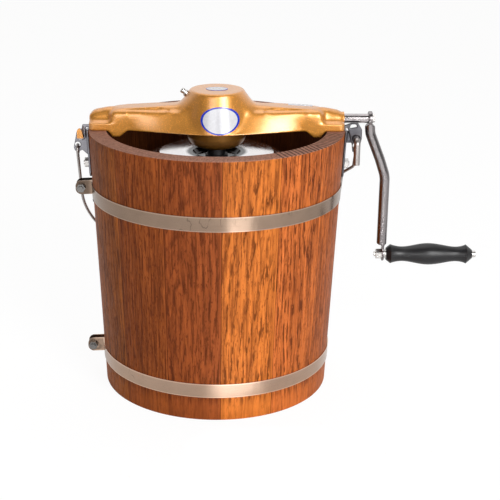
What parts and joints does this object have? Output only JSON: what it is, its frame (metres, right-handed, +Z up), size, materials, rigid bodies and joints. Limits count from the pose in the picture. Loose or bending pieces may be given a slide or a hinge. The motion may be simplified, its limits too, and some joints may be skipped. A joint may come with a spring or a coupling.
{
  "type": "hand-crank ice cream maker",
  "caption": "Wooden-tub ice cream freezer with a hand crank, geared gold frame across the rim, steel can with lid and dasher, and a wire bail.",
  "frame": {"origin": "centre of the tub's foot, on the surface it stands on", "axes": "+X to the crank, +Y to the back, +Z up along the tub's axis"},
  "size_m": [0.5103, 0.3164, 0.3797],
  "materials": {
    "oak": "oiled",
    "beech": "plain",
    "band_steel": "brushed",
    "zinc": "plated",
    "galvanised": "galvanised",
    "gold_paint": "metallic paint",
    "crank_steel": "plated",
    "wire_steel": "drawn",
    "bronze": "turned",
    "gear_iron": "cast",
    "can_steel": "spun",
    "dasher_metal": "cast",
    "black_grip": "satin",
    "dark_screw": "blackened",
    "label": "gloss"
  },
  "bodies": {
    "tub": {"stave_01": "oak", "stave_02": "oak", "stave_03": "oak", "stave_04": "oak", "stave_05": "oak", "stave_06": "oak", "stave_07": "oak", "stave_08": "oak", "stave_09": "oak", "stave_10": "oak", "stave_11": "oak", "stave_12": "oak", "stave_13": "oak", "stave_14": "oak", "tub_bottom": "oak", "pivot_cup": "galvanised", "upper_band": "band_steel", "lower_band": "band_steel", "band_bolts": "zinc", "band_nuts": "zinc", "band_keeper": "dark_screw", "right_ear": "galvanised", "left_ear": "galvanised", "ear_bolts": "zinc", "ear_nuts": "zinc"},
    "frame": {"gear_frame": "gold_paint", "right_lug": "galvanised", "left_lug": "galvanised", "inner_bush": "bronze", "outer_bush": "bronze", "gear_cover": "gold_paint", "gear_bush": "bronze", "grease_fitting": "zinc", "front_label": "label", "top_label": "label", "arm_label": "label"},
    "crank": {"crank_shaft": "crank_steel", "bevel_pinion": "gear_iron", "pinion_pin": "zinc", "crank_arm": "crank_steel", "crank_bolt": "zinc", "crank_washer": "zinc", "grip_bolt": "zinc", "grip_nut": "zinc", "grip_washer": "zinc"},
    "grip": {"grip": "black_grip"},
    "gear": {"bevel_gear": "gear_iron"},
    "can": {"can": "can_steel", "can_pivot": "can_steel"},
    "lid": {"can_lid": "can_steel", "lid_hub": "gear_iron"},
    "dasher": {"dasher": "dasher_metal", "left_scraper": "beech", "right_scraper": "beech"},
    "bail": {"bail": "wire_steel"},
    "right_pin": {"right_latch_pin": "galvanised"},
    "left_pin": {"left_latch_pin": "galvanised", "left_latch_tab": "gold_paint"}
  },
  "joints": [
    {"name": "frame_lift", "type": "slide", "parent": "tub", "child": "frame", "axis": [0, 0, 1], "range_m": [0, 0.45]},
    {"name": "crank_spin", "type": "hinge", "parent": "frame", "child": "crank", "pos_m": [0.1, 0, 0.3424], "axis": [1, 0, 0], "continuous": true},
    {"name": "grip_spin", "type": "hinge", "parent": "crank", "child": "grip", "pos_m": [0.27, 0, 0.165], "axis": [1, 0, 0], "continuous": true},
    {"name": "gear_spin", "type": "hinge", "parent": "frame", "child": "gear", "pos_m": [0, 0, 0.32], "axis": [0, 0, 1], "continuous": true},
    {"name": "can_spin", "type": "hinge", "parent": "tub", "child": "can", "pos_m": [0, 0, 0.035], "axis": [0, 0, 1], "continuous": true},
    {"name": "lid_lift", "type": "slide", "parent": "can", "child": "lid", "axis": [0, 0, 1], "range_m": [0, 0.365]},
    {"name": "dasher_lift", "type": "slide", "parent": "tub", "child": "dasher", "axis": [0, 0, 1], "range_m": [0, 0.305]},
    {"name": "bail_swing", "type": "hinge", "parent": "tub", "child": "bail", "pos_m": [0, 0, 0.3022], "axis": [1, 0, 0], "range_deg": [0, 125]},
    {"name": "right_pin_slide", "type": "slide", "parent": "frame", "child": "right_pin", "axis": [0, 1, 0], "range_m": [-0.0015, 0.008]},
    {"name": "left_pin_slide", "type": "slide", "parent": "frame", "child": "left_pin", "axis": [0, 1, 0], "range_m": [-0.0015, 0.008]}
  ],
  "couplings": [
    {"joint": "gear_spin", "follows": "crank_spin", "ratio": 0.5},
    {"joint": "can_spin", "follows": "crank_spin", "ratio": 0.5},
    {"joint": "lid_lift", "follows": "frame_lift", "ratio": 0.8},
    {"joint": "dasher_lift", "follows": "frame_lift", "ratio": 0.667}
  ]
}
